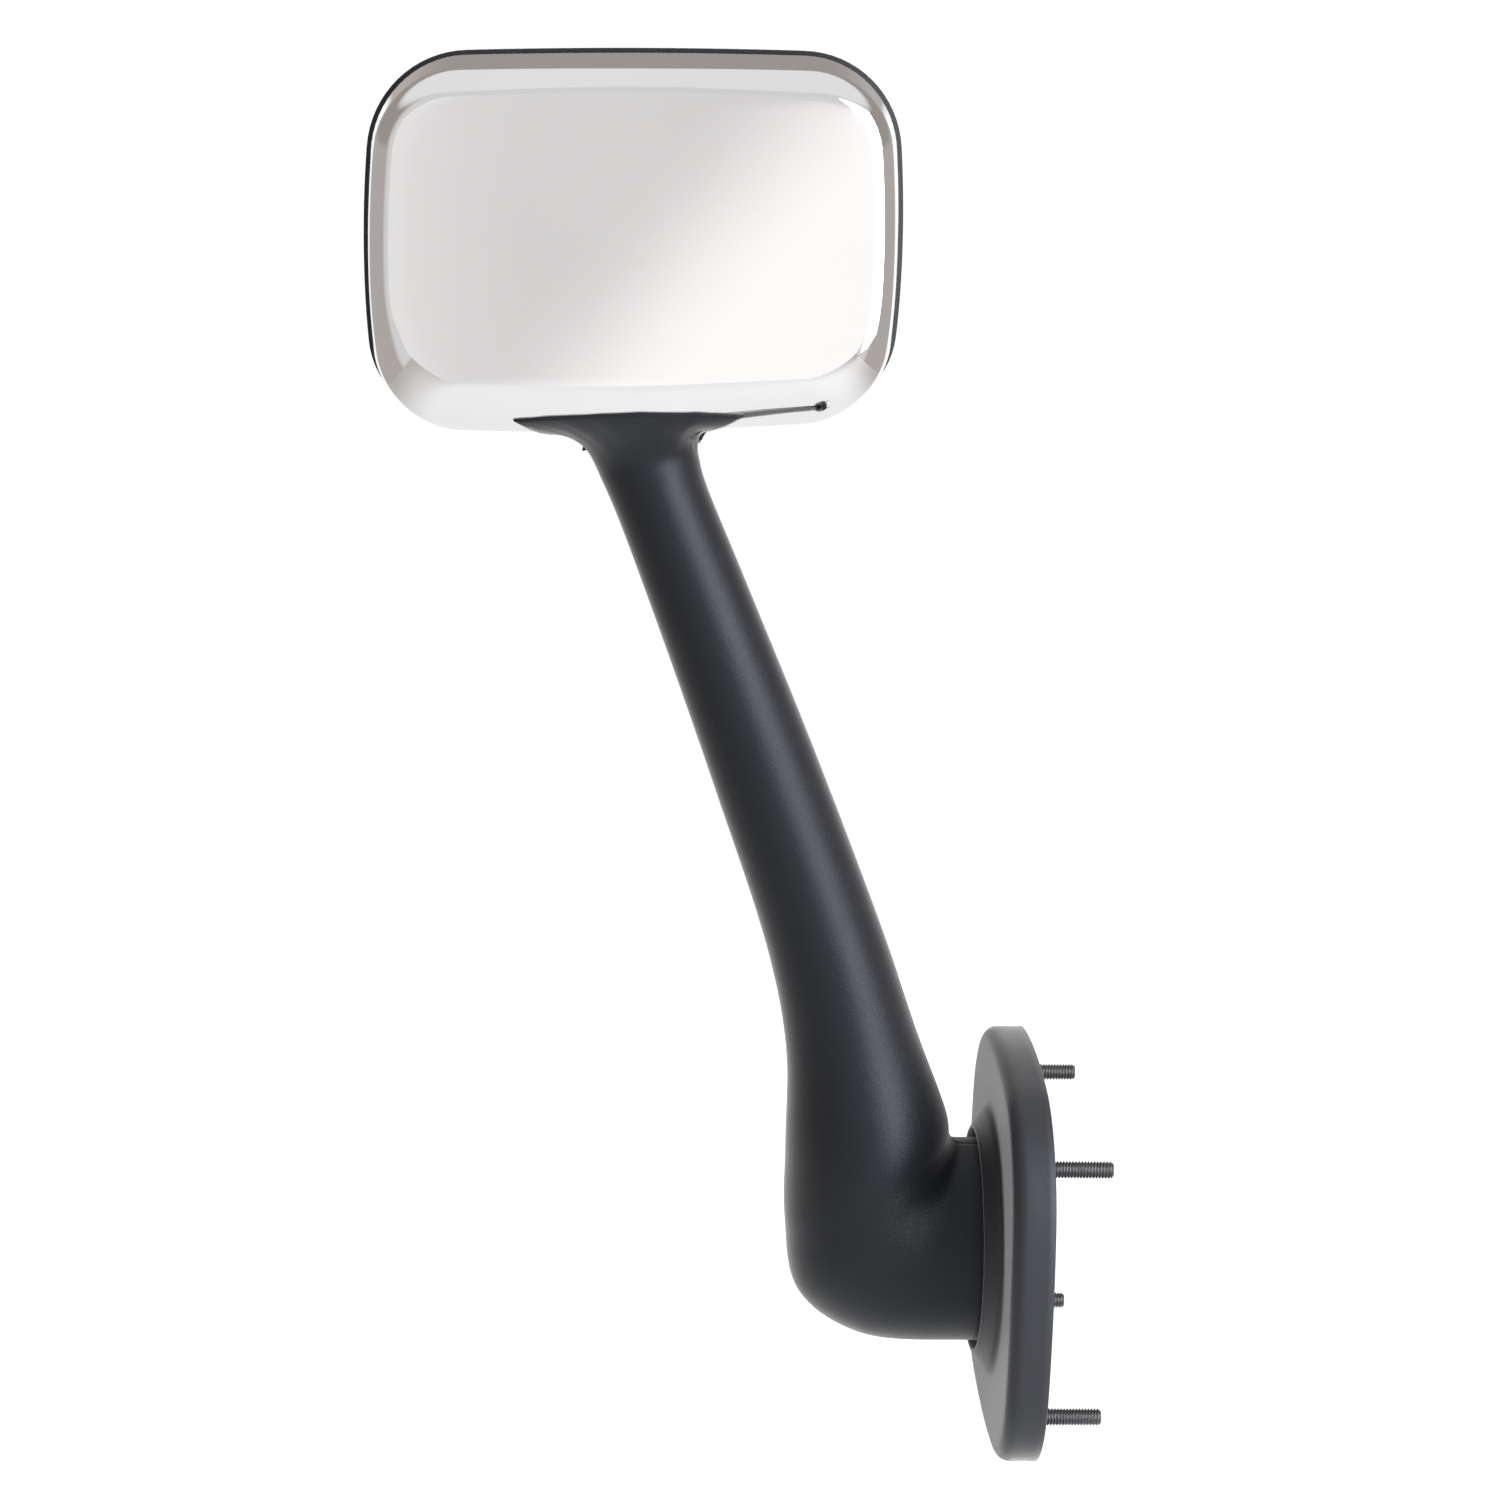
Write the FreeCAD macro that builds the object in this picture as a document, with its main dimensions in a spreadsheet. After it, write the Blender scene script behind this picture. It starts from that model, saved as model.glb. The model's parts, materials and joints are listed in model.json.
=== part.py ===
import FreeCAD, Part
import math
import os
import re

import Sketcher
from FreeCAD import Vector

# Hood mirror for a heavy truck: a foot with four studs, a breakaway pivot, a hollow arm and a mirror head.
# Frame: origin at the centre of the foot's mounting face, +X into the vehicle along the studs,
# +Z up, +Y towards the driver, which is where the mirror glass looks. Millimetres.

doc = FreeCAD.newDocument("hood_mirror")

# ---------------------------------------------------------------- driving sizes
SIZES = {
    # foot
    "foot_half_y": 96.5, "foot_half_z": 94.6, "foot_side_bow": 280.0, "foot_end_bow": 285.0,
    "foot_corner": 60.0, "foot_height": 19.0, "foot_shoulder": 6.5, "foot_wall": 3.0,
    "collar_rise": 8.0, "collar_spread": 7.4, "collar_lip": 2.6, "collar_gap": 4.0,
    "gasket_thick": 1.5, "plate_thick": 6.5, "inside_gap": 0.6,
    "stud_pitch_y": 130.0, "stud_pitch_z": 122.0, "stud_radius": 3.97, "stud_reach": 28.5,
    "stud_shoulder_r": 4.4, "stud_head_r": 8.0, "stud_head_thick": 4.0, "stud_tip": 0.8,
    "cover_screw_in_y": 18.5, "cover_screw_in_z": 18.6, "cover_screw_r": 2.0, "cover_boss_r": 5.0,
    "cover_screw_long": 12.0, "cover_head_thick": 2.3,
    # breakaway pivot
    "post_radius": 12.0, "post_length": 78.0, "flange_radius": 46.0, "flange_thick": 4.0,
    "post_bolt_circle": 37.0, "post_bolt_r": 3.0, "friction_thick": 2.0, "running_play": 0.05,
    "bush_wall": 3.0, "bush_length": 30.0, "hub_wall": 5.5, "hub_length": 62.0,
    "pocket_gap": 1.5, "disc_width": 8.0, "disc_thick": 1.6, "disc_cone": 1.4, "disc_count": 6.0,
    "seat_thick": 3.0, "nut_wall": 3.0, "nut_thick": 10.0,
    # arm
    "root_radius": 48.0, "arm_wall": 3.0, "arm_slenderness": 0.58,
    "tube_radius": 12.7, "tube_wall": 2.5, "tube_bottom": 40.0, "tube_top": 428.0, "boss_wall": 5.5,
    "hub_boss_top": 108.0, "set_screw_r": 3.0, "shell_screw_r": 1.75, "shell_head_r": 2.8, "shell_head_thick": 2.2,
    "shell_screw_long": 15.0, "shell_seat": 4.0, "shell_pillar_r": 3.8,
    # head
    "head_x": -193.75, "head_z": 465.6, "head_half_x": 120.6, "head_half_z": 86.4,
    "head_side_bow": 528.0, "head_end_bow": 2670.0, "head_corner": 45.6,
    "rim_rear": 36.0, "rim_step": 22.0, "rim_ledge": 1.3, "head_front": 46.0, "head_draft": 8.8,
    "head_crown": 1500.0, "head_shoulder": 18.0, "chrome_wall": 2.0, "housing_wall": 2.6, "skin_gap": 0.2,
    # bracket and adjuster
    "bracket_face": 8.0, "bracket_thick": 5.0, "bracket_half_x": 54.0, "bracket_half_z": 34.0,
    "housing_screw_x": 46.0, "housing_screw_z": 26.0, "housing_screw_r": 2.5,
    "bracket_corner": 8.0, "neck_gap": 2.0, "screw_play": 0.2, "housing_pillar_r": 5.5,
    "adjuster_radius": 31.0, "adjuster_thick": 3.0, "adjuster_screw_r": 1.6, "adjuster_screw_at": 17.98,
    "pivot_y": 20.0, "ring_outer": 20.0, "ring_inner": 13.5,
    "ring_thick": 8.0, "ear_gap": 0.5, "ear_thick": 4.5, "ear_half": 6.0, "pin_radius": 2.5,
    # glass
    "glass_inset": 13.0, "glass_radius": 600.0, "glass_thick": 2.2, "pad_thick": 0.8, "carrier_thick": 3.0,
    "carrier_lip": 1.6,
}

sheet = doc.addObject("Spreadsheet::Sheet", "sizes")
for row, (alias, value) in enumerate(SIZES.items(), start=1):
    sheet.set("A%d" % row, alias)
    sheet.set("B%d" % row, str(value))
    sheet.setAlias("B%d" % row, alias)
doc.recompute()


class Cells:
    """The sheet's values by name, for shapes that no single feature makes."""

    def __getattr__(self, alias):
        return float(sheet.get(alias))


size = Cells()


def bound(text):
    """Write every size name in an expression as a cell of the sheet."""
    return re.sub(r"[a-z][a-z_]+", lambda word: "sizes." + word.group() if word.group() in SIZES else word.group(),
                  str(text))


# ---------------------------------------------------------------- small builders
TURNS = {"x": FreeCAD.Rotation(Vector(0, 1, 0), 90), "y": FreeCAD.Rotation(Vector(1, 0, 0), -90),
         "z": FreeCAD.Rotation()}


def bind_base(item, place):
    for letter, text in zip("xyz", place):
        item.setExpression("Placement.Base." + letter, bound(text))
    return item


def cylinder(radius, length, place, along="x"):
    """A cylinder that starts at place and runs along the positive axis named."""
    item = doc.addObject("Part::Cylinder", "cylinder")
    item.setExpression("Radius", bound(radius))
    item.setExpression("Height", bound(length))
    item.Placement = FreeCAD.Placement(Vector(), TURNS[along])
    return bind_base(item, place)


def block(wide_x, wide_y, wide_z, place):
    """A box whose centre in X and Z is at place and which starts there in Y."""
    item = doc.addObject("Part::Box", "block")
    item.setExpression("Length", bound(wide_x))
    item.setExpression("Width", bound(wide_y))
    item.setExpression("Height", bound(wide_z))
    return bind_base(item, ("%s - (%s) / 2" % (place[0], wide_x), place[1], "%s - (%s) / 2" % (place[2], wide_z)))


def prism(radius, length, place, along="x"):
    """A six-sided prism, by the radius over its corners."""
    item = doc.addObject("Part::Prism", "prism")
    item.Polygon = 6
    item.setExpression("Circumradius", bound(radius))
    item.setExpression("Height", bound(length))
    item.Placement = FreeCAD.Placement(Vector(), TURNS[along])
    return bind_base(item, place)


def shape_of(shape, name="shape"):
    item = doc.addObject("Part::Feature", name)
    item.Shape = shape
    return item


def fuse(*items):
    joined = doc.addObject("Part::MultiFuse", "joined")
    joined.Shapes = list(items)
    return joined


def cut(base, *tools):
    result = doc.addObject("Part::Cut", "cut")
    result.Base = base
    result.Tool = tools[0] if len(tools) == 1 else fuse(*tools)
    return result


def group(*items):
    """Separate solids of one node, kept apart."""
    result = doc.addObject("Part::Compound", "group")
    result.Links = list(items)
    return result


NODES = {}


def node(label, item):
    item.Label = label
    NODES[label] = item
    return item


def washer_body(label, outer, inner, thick, start):
    """A flat ring round the pivot axis, padded from a sketch of two circles towards the arm."""
    body = doc.addObject("PartDesign::Body", label)
    plane = [face for face in body.Origin.OriginFeatures if face.Role == "YZ_Plane"][0]
    sketch = body.newObject("Sketcher::SketchObject", "rings")
    sketch.AttachmentSupport = [(plane, "")]
    sketch.MapMode = "FlatFace"
    for index, radius in enumerate((outer, inner)):
        sketch.addGeometry(Part.Circle(Vector(), Vector(0, 0, 1), 10.0 + index), False)
        sketch.addConstraint(Sketcher.Constraint("Coincident", index, 3, -1, 1))
        rule = sketch.addConstraint(Sketcher.Constraint("Radius", index, 10.0 + index))
        sketch.setExpression("Constraints[%d]" % rule, bound(radius))
    pad = body.newObject("PartDesign::Pad", "pad")
    pad.Profile = sketch
    pad.setExpression("Length", bound(thick))
    pad.Reversed = True
    body.Tip = pad
    body.setExpression("Placement.Base.x", bound("-(%s)" % start))
    return node(label, body)


# ---------------------------------------------------------------- outlines
def panel_wire(half_u, half_v, side_bow, end_bow, corner, inset, place):
    """A bowed rectangle of eight tangent arcs, moved inwards by inset, in the plane that place gives."""
    side_centre = Vector(half_u - side_bow, 0, 0)
    end_centre = Vector(0, half_v - end_bow, 0)
    across = end_centre - side_centre
    side_reach, end_reach = side_bow - corner, end_bow - corner
    along = (side_reach ** 2 - end_reach ** 2 + across.Length ** 2) / (2 * across.Length)
    aside = math.sqrt(side_reach ** 2 - along ** 2)
    unit = across / across.Length
    corner_centre = side_centre + unit * along + Vector(-unit.y, unit.x, 0) * aside
    to_side = (corner_centre - side_centre).normalize()
    to_end = (corner_centre - end_centre).normalize()
    middle = (to_side + to_end).normalize()
    turn_side = side_centre + to_side * (side_bow - inset)
    turn_end = end_centre + to_end * (end_bow - inset)
    bulge = corner_centre + middle * (corner - inset)
    quarter = [(half_u - inset, 0), (turn_side.x, turn_side.y), (bulge.x, bulge.y), (turn_end.x, turn_end.y)]
    tip = (0, half_v - inset)
    edges = []
    for flip_u, flip_v in ((1, 1), (-1, 1), (-1, -1), (1, -1)):
        side, near, mid, far = [place(u * flip_u, v * flip_v) for u, v in quarter]
        edges.append(Part.Arc(near, mid, far).toShape())
    for flip in (1, -1):
        low, high = [place(quarter[1][0] * flip, quarter[1][1] * sign) for sign in (-1, 1)]
        edges.append(Part.Arc(low, place(quarter[0][0] * flip, 0), high).toShape())
        left, right = [place(quarter[3][0] * sign, quarter[3][1] * flip) for sign in (-1, 1)]
        edges.append(Part.Arc(left, place(0, tip[1] * flip), right).toShape())
    return Part.Wire(Part.__sortEdges__(edges))


def foot_wire(x, inset):
    return panel_wire(size.foot_half_y, size.foot_half_z, size.foot_side_bow, size.foot_end_bow,
                      size.foot_corner, inset, lambda u, v: Vector(x, u, v))


def head_wire(y, inset):
    return panel_wire(size.head_half_x, size.head_half_z, size.head_side_bow, size.head_end_bow,
                      size.head_corner, inset, lambda u, v: Vector(size.head_x + u, y, size.head_z + v))


def foot_slab(start, thick, inset):
    """The foot's outline as a slab that runs from -start towards the arm."""
    return Part.Face(foot_wire(-start, inset)).extrude(Vector(-thick, 0, 0))


def head_slab(start, thick, inset):
    return Part.Face(head_wire(start, inset)).extrude(Vector(0, thick, 0))


def head_bowl(depth_in, rear, rear_inset):
    """The head's closed bowl, depth_in inside the chrome: drafted sides, crowned front, rolled shoulder."""
    front = -size.head_front + depth_in
    run = size.rim_step + size.head_front
    slope = (size.head_draft - size.rim_ledge) / run
    tip_inset = rear_inset + slope * (rear - front)
    sides = Part.makeLoft([head_wire(rear, rear_inset), head_wire(front - 10, tip_inset + slope * 10)], True, True)
    crown = Part.makeSphere(size.head_crown - depth_in, Vector(size.head_x, size.head_crown - size.head_front,
                                                              size.head_z))
    bowl = sides.common(crown)
    rolled = [edge for edge in bowl.Edges if edge.BoundBox.YMax < 0 and edge.Length > 10]
    return bowl.makeFillet(size.head_shoulder - depth_in, rolled)


# ---------------------------------------------------------------- foot
inner_inset = size.foot_wall + size.inside_gap
collar_top = "foot_height + collar_rise"
collar_hole = "root_radius + collar_gap"
collar_rim = collar_hole + " + collar_lip"
stud_places = [(a, b) for a in ("1", "-1") for b in ("1", "-1")]
screw_places = [("%s * (foot_half_y - cover_screw_in_y)" % a, "0") for a in ("1", "-1")]
screw_places += [("0", "%s * (foot_half_z - cover_screw_in_z)" % a) for a in ("1", "-1")]


def at_studs(radius, length, start):
    return [cylinder(radius, length, (start, "%s * stud_pitch_y / 2" % a, "%s * stud_pitch_z / 2" % b))
            for a, b in stud_places]


def at_cover_screws(radius, length, start):
    return [cylinder(radius, length, (start, y, z)) for y, z in screw_places]


cover_block = foot_slab(0, size.foot_height, 0)
top_edges = [edge for edge in cover_block.Edges if edge.BoundBox.XMax < -size.foot_height + 0.1]
cover_skin = shape_of(cover_block.makeFillet(size.foot_shoulder, top_edges), "cover_skin")
collar = doc.addObject("Part::Cone", "collar")
collar.setExpression("Radius1", bound(collar_rim + " + collar_spread"))
collar.setExpression("Radius2", bound(collar_rim))
collar.setExpression("Height", bound("collar_rise + 1"))
collar.Placement = FreeCAD.Placement(Vector(), FreeCAD.Rotation(Vector(0, 1, 0), -90))
bind_base(collar, ("-foot_height + 1", "0", "0"))
cover_hollow = shape_of(foot_slab(-1, size.foot_height - size.foot_wall + 1, size.foot_wall), "cover_hollow")
node("base_cover", cut(
    fuse(cut(fuse(cover_skin, collar), cover_hollow,
             cylinder(collar_hole, collar_top + " + 2", ("-(%s) - 1" % collar_top, "0", "0"))),
         *at_cover_screws("cover_boss_r", "foot_height - foot_wall - gasket_thick - plate_thick + 1",
                          "-foot_height + foot_wall - 1")),
    *at_cover_screws("cover_screw_r", "foot_height", "-gasket_thick - cover_screw_long - 1")))

node("base_gasket", cut(shape_of(foot_slab(0, size.gasket_thick, inner_inset), "gasket_sheet"),
                        *at_studs("stud_shoulder_r + 0.2", "gasket_thick + 2", "-gasket_thick - 1"),
                        *at_cover_screws("cover_screw_r * 2 + 0.3", "gasket_thick + 2", "-gasket_thick - 1")))

node("mounting_plate", cut(
    shape_of(foot_slab(size.gasket_thick, size.plate_thick, inner_inset), "plate_slab"),
    *at_studs("stud_shoulder_r", "plate_thick + 2", "-gasket_thick - plate_thick - 1"),
    *at_cover_screws("cover_screw_r", "plate_thick + 2", "-gasket_thick - plate_thick - 1"),
    *at_cover_screws("cover_screw_r * 2", "cover_head_thick + 0.2", "-gasket_thick - cover_head_thick - 0.2"),
    *[cylinder("post_bolt_r", "plate_thick + 2",
               ("-gasket_thick - plate_thick - 1", "%s * post_bolt_circle * 0.7071" % a,
                "%s * post_bolt_circle * 0.7071" % b)) for a, b in stud_places]))


def stud(a, b):
    """One stud: a head, a serrated shoulder pressed in the plate, a threaded length and a chamfered tip."""
    place = lambda start: (start, "%s * stud_pitch_y / 2" % a, "%s * stud_pitch_z / 2" % b)
    head = cylinder("stud_head_r", "stud_head_thick", place("-gasket_thick - plate_thick - stud_head_thick"))
    press = cylinder("stud_shoulder_r", "gasket_thick + plate_thick + 1", place("-gasket_thick - plate_thick - 1"))
    shank = cylinder("stud_radius", "stud_reach - stud_tip", place("0"))
    tip = doc.addObject("Part::Cone", "tip")
    tip.setExpression("Radius1", bound("stud_radius"))
    tip.setExpression("Radius2", bound("stud_radius - stud_tip"))
    tip.setExpression("Height", bound("stud_tip"))
    tip.Placement = FreeCAD.Placement(Vector(), TURNS["x"])
    bind_base(tip, place("stud_reach - stud_tip"))
    return fuse(head, press, shank, tip)


node("mounting_studs", group(*[stud(a, b) for a, b in stud_places]))
node("cover_screws", group(*[
    fuse(cylinder("cover_screw_r", "cover_screw_long", ("-gasket_thick - cover_screw_long", y, z)),
         cylinder("cover_screw_r * 2", "cover_head_thick", ("-gasket_thick - cover_head_thick", y, z)))
    for y, z in screw_places]))

# ---------------------------------------------------------------- breakaway pivot, from the plate outwards
flange_face = "gasket_thick + plate_thick + flange_thick"
friction_face = flange_face + " + friction_thick"
pocket_floor = friction_face + " + bush_length"
seat_face = pocket_floor + " + 0.1 + disc_count * (disc_thick + disc_cone)"
nut_face = seat_face + " + seat_thick"
disc_edge = "post_radius + disc_width"
pocket = size.post_radius + size.disc_width + size.pocket_gap

bolt_places = [["%s * post_bolt_circle * 0.7071" % sign for sign in pair] for pair in stud_places]
node("pivot_post", cut(
    fuse(cylinder("flange_radius", "flange_thick", ("-(%s)" % flange_face, "0", "0")),
         cylinder("post_radius", "post_length + 1", ("-(gasket_thick + plate_thick + post_length)", "0", "0"))),
    cylinder("post_radius + 1", "3", ("-(gasket_thick + plate_thick)", "0", "0")),
    *[cylinder("post_bolt_r", "flange_thick + 2", ("-(%s) - 1" % flange_face, y, z)) for y, z in bolt_places]))
node("post_bolts", group(*[
    fuse(cylinder("post_bolt_r", "flange_thick + plate_thick", ("-(%s)" % flange_face, y, z)),
         prism("post_bolt_r * 1.9", "4", ("-(%s) - 4" % flange_face, y, z))) for y, z in bolt_places]))
washer_body("friction_washer", disc_edge + " + pocket_gap + hub_wall", "post_radius + 0.3", "friction_thick",
            flange_face)
washer_body("pivot_bush", "post_radius + bush_wall", "post_radius + running_play", "bush_length", friction_face)
washer_body("spring_seat", disc_edge, "post_radius + 0.2", "seat_thick", seat_face)


def disc_spring(index):
    """One conical disc; neighbours face opposite ways, so the stack meets edge to edge."""
    floor = size.gasket_thick + size.plate_thick + size.flange_thick + size.friction_thick + size.bush_length
    near = floor + 0.1 + index * (size.disc_thick + size.disc_cone)
    inner, outer = size.post_radius + 0.4, size.post_radius + size.disc_width
    lift = (size.disc_cone, 0) if index % 2 else (0, size.disc_cone)
    points = [Vector(-near - lift[0], inner, 0), Vector(-near - lift[0] - size.disc_thick, inner, 0),
              Vector(-near - lift[1] - size.disc_thick, outer, 0), Vector(-near - lift[1], outer, 0)]
    return shape_of(Part.Face(Part.makePolygon(points + points[:1])).revolve(Vector(), Vector(1, 0, 0), 360), "disc")


node("disc_springs", group(*[disc_spring(index) for index in range(int(size.disc_count))]))
node("lock_nut", cut(
    fuse(prism("(post_radius + nut_wall) * 1.1547", "nut_thick", ("-(%s) - nut_thick" % nut_face, "0", "0")),
         cylinder("post_radius + nut_wall - 1", "3", ("-(%s) - nut_thick - 2" % nut_face, "0", "0"))),
    cylinder("post_radius", "nut_thick + 6", ("-(%s) - nut_thick - 4" % nut_face, "0", "0"))))

# ---------------------------------------------------------------- arm shell
# Each station is a section seen from the front: its outer point and its inner point in X and Z. In the
# flare they are followed by its depth to the front, its depth to the rear and how square it is.
ELBOW = (
    (-81.8, -45.0, -36.5, 48.6),
    (-110.3, -24.8, -38.2, 50.2),
    (-116.9, 9.2, -39.8, 53.9),
    (-117.4, 47.1, -41.9, 65.4),
)
SHAFT = (
    (-117.9, 92.3, -56.6, 103.6),
    (-126.6, 139.1, -73.8, 151.9),
    (-154.6, 223.4, -108.7, 240.4),
    (-183.8, 304.9, -142.5, 320.5),
    (-201.3, 350.7, -160.8, 363.9),
)
FLARE = (
    (-208.2, 366.1, -163.7, 374.9, 26.5, 25.0, 2.1),
    (-213.5, 376.6, -163.0, 380.4, 31.0, 27.0, 2.4),
    (-224.5, 384.6, -159.5, 386.4, 36.0, 29.0, 2.9),
    (-241.0, 389.6, -149.0, 390.6, 39.6, 31.0, 3.4),
    (-259.0, 394.6, -131.0, 395.4, 42.0, 32.0, 3.8),
    (-268.0, 400.5, -122.0, 401.1, 43.6, 32.0, 4.0),
)


def section_wire(outer_x, outer_z, inner_x, inner_z, inset, front, rear=None, square=2.0):
    """A closed oval across the arm, with its depths to the front and rear; it gets squarer above 2."""
    outer, inner = Vector(outer_x, 0, outer_z), Vector(inner_x, 0, inner_z)
    centre, half = (outer + inner) / 2, (inner - outer).Length / 2 - inset
    across = (inner - outer).normalize()
    points = []
    for k in range(20):
        c, s = math.cos(2 * math.pi * k / 20), math.sin(2 * math.pi * k / 20)
        deep = (rear or front) - inset if s > 0 else front - inset
        wide = math.copysign(abs(c) ** (2 / square), c) * half
        points.append(centre + across * wide + Vector(0, math.copysign(abs(s) ** (2 / square), s) * deep, 0))
    curve = Part.BSplineCurve()
    curve.interpolate(points, PeriodicFlag=True)
    return Part.Wire([curve.toShape()])


def arm_solid(inset, overrun):
    """The arm's closed outer body, or with an inset the hollow inside it, which overruns both open ends."""
    radius = size.root_radius
    ends = (-size.foot_height + overrun, -size.foot_height - size.collar_rise - 3.0)
    wires = [section_wire(x, -radius, x, radius, inset, radius) for x in ends]
    for place in ELBOW:
        wires.append(section_wire(*place, inset, radius * 0.95))
    for place in SHAFT:
        width = math.hypot(place[2] - place[0], place[3] - place[1])
        wires.append(section_wire(*place, inset, width * size.arm_slenderness))
    for *place, front, rear, square in FLARE:
        wires.append(section_wire(*place, inset, front, rear, square))
    return Part.makeLoft(wires, True, False)


def along_arm(height, aside=0.0):
    """The point on the core tube's axis at a height, moved aside across the arm."""
    low_x = (SHAFT[1][0] + SHAFT[1][2]) / 2
    low_z = (SHAFT[1][1] + SHAFT[1][3]) / 2
    top_x = (SHAFT[3][0] + SHAFT[3][2]) / 2
    top_z = (SHAFT[3][1] + SHAFT[3][3]) / 2
    lean = (top_x - low_x) / (top_z - low_z)
    steady = math.hypot(1, lean)
    return Vector(low_x + lean * (height - low_z) + aside / steady, 0, height - aside * lean / steady)


tube_axis = (along_arm(400) - along_arm(100)).normalize()


def leaning(radius, low, high):
    """A cylinder on the core tube's axis between two heights."""
    start = along_arm(low)
    return Part.makeCylinder(radius, (along_arm(high) - start).Length, start, tube_axis)


chrome_solid = head_bowl(0.0, size.rim_step, size.rim_ledge)
arm_outer = arm_solid(0.0, 0.0)
arm_hollow = arm_solid(size.arm_wall, 3.0)
head_room = head_bowl(-size.skin_gap, size.rim_step, size.rim_ledge - size.skin_gap)
rear_room = head_slab(size.rim_step - 1, size.rim_rear - size.rim_step + 1, -size.skin_gap)
elbow_screw = Vector(-98.0, 0, -5.0)
screw_heights = (128.0, 195.0, 262.0, 330.0)
arm_skin = arm_outer.cut(arm_hollow)


screw_points = [elbow_screw]
for turn, height in enumerate(screw_heights):
    aside = size.tube_radius + size.shell_pillar_r + 0.4
    screw_points.append(along_arm(height, aside if turn % 2 else -aside))


def half_space(toward):
    """A block that covers all of the arm in front of (-1) or behind (+1) the parting plane."""
    start = -200.0 if toward < 0 else 0.0
    return Part.makeBox(600, 200, 700, Vector(-450, start, -120))


def arm_shell(toward):
    shell = arm_skin.common(half_space(toward))
    for point in screw_points:
        start = point + Vector(0, -60 if toward < 0 else 0, 0)
        shell = shell.fuse(Part.makeCylinder(size.shell_pillar_r, 60, start, Vector(0, 1, 0)).common(arm_outer))
    for point in screw_points:
        seat = point + Vector(0, size.shell_seat, 0)
        if toward < 0:
            shell = shell.cut(Part.makeCylinder(size.shell_screw_r, size.shell_screw_long, seat, Vector(0, -1, 0)))
        else:
            shell = shell.cut(Part.makeCylinder(size.shell_screw_r + 0.15, 60, point, Vector(0, 1, 0)))
            shell = shell.cut(Part.makeCylinder(size.shell_head_r + 0.1, 60, seat, Vector(0, 1, 0)))
    return shell.cut(head_room).cut(rear_room)


node("arm_front_shell", shape_of(arm_shell(-1)))
node("arm_rear_shell", shape_of(arm_shell(1)))


def shell_screw(point):
    seat = point + Vector(0, size.shell_seat, 0)
    shank = Part.makeCylinder(size.shell_screw_r, size.shell_screw_long, seat, Vector(0, -1, 0))
    return shape_of(shank.fuse(Part.makeCylinder(size.shell_head_r, size.shell_head_thick, seat, Vector(0, 1, 0))))


node("shell_screws", group(*[shell_screw(point) for point in screw_points]))

# ---------------------------------------------------------------- hub and core tube
pivot_face = size.gasket_thick + size.plate_thick + size.flange_thick + size.friction_thick
barrel = Part.makeCylinder(pocket + size.hub_wall, size.hub_length, Vector(-pivot_face, 0, 0), Vector(-1, 0, 0))
hub_boss = leaning(size.tube_radius + size.boss_wall, 4.0, size.hub_boss_top)
hub_shape = barrel.fuse(hub_boss)
hub_shape = hub_shape.cut(Part.makeCylinder(size.post_radius + size.bush_wall, size.hub_length,
                                            Vector(-pivot_face + 1, 0, 0), Vector(-1, 0, 0)))
hub_shape = hub_shape.cut(Part.makeCylinder(pocket, size.hub_length,
                                            Vector(-pivot_face - size.bush_length, 0, 0), Vector(-1, 0, 0)))
hub_shape = hub_shape.cut(leaning(size.tube_radius, size.tube_bottom, size.hub_boss_top + 10))
tube_shape = leaning(size.tube_radius, size.tube_bottom, size.tube_top).cut(
    leaning(size.tube_radius - size.tube_wall, size.tube_bottom - 5, size.tube_top + 5))


def set_screws(heights, side):
    """Cross screws that clamp the tube in a socket from one side (+1 or -1 in Y), and the drilling for them."""
    screws, drilled = [], []
    for height in heights:
        point = along_arm(height) + Vector(0, side * (size.tube_radius - size.tube_wall - 1), 0)
        reach = size.boss_wall + size.tube_wall + 1
        screws.append(Part.makeCylinder(size.set_screw_r, reach, point, Vector(0, side, 0)))
        drilled.append(Part.makeCylinder(size.set_screw_r, reach + 9, point, Vector(0, side, 0)))
    return screws, drilled


hub_heights, top_heights = (64.0, 92.0), (399.0, 416.0)
hub_screws, hub_drilled = set_screws(hub_heights, 1)
top_screws, top_drilled = set_screws(top_heights, -1)
for drilled in hub_drilled:
    hub_shape = hub_shape.cut(drilled)
for drilled in hub_drilled + top_drilled:
    tube_shape = tube_shape.cut(drilled)
node("arm_hub", shape_of(hub_shape))
node("arm_tube", shape_of(tube_shape))
node("hub_set_screws", group(*[shape_of(screw) for screw in hub_screws]))
node("bracket_set_screws", group(*[shape_of(screw) for screw in top_screws]))

# ---------------------------------------------------------------- head shells
neck_hole = leaning(size.tube_radius + size.boss_wall + size.neck_gap, 340.0, 420.0)
chrome_hollow = head_bowl(size.chrome_wall, size.rim_step + 1, size.rim_ledge + size.chrome_wall)
node("chrome_cover", shape_of(chrome_solid.cut(chrome_hollow).cut(neck_hole)))

housing_in = size.chrome_wall + size.skin_gap
housing_inset = size.rim_ledge + housing_in
housing_outer = head_bowl(housing_in, size.rim_step + 2, housing_inset).fuse(
    head_slab(size.rim_step + size.skin_gap, size.rim_rear - size.rim_step - size.skin_gap, 0))
cavity_in = housing_in + size.housing_wall
housing_cavity = head_bowl(cavity_in, size.rim_rear + 1, housing_inset + size.housing_wall)
housing_shape = housing_outer.cut(housing_cavity)
corners = [(a, b) for a in (1, -1) for b in (1, -1)]


def at_corners(radius, start, length, half_x, half_z):
    """Four cylinders along Y round the head's centre."""
    return [Part.makeCylinder(radius, length, Vector(size.head_x + a * half_x, start, size.head_z + b * half_z),
                              Vector(0, 1, 0)) for a, b in corners]


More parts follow.
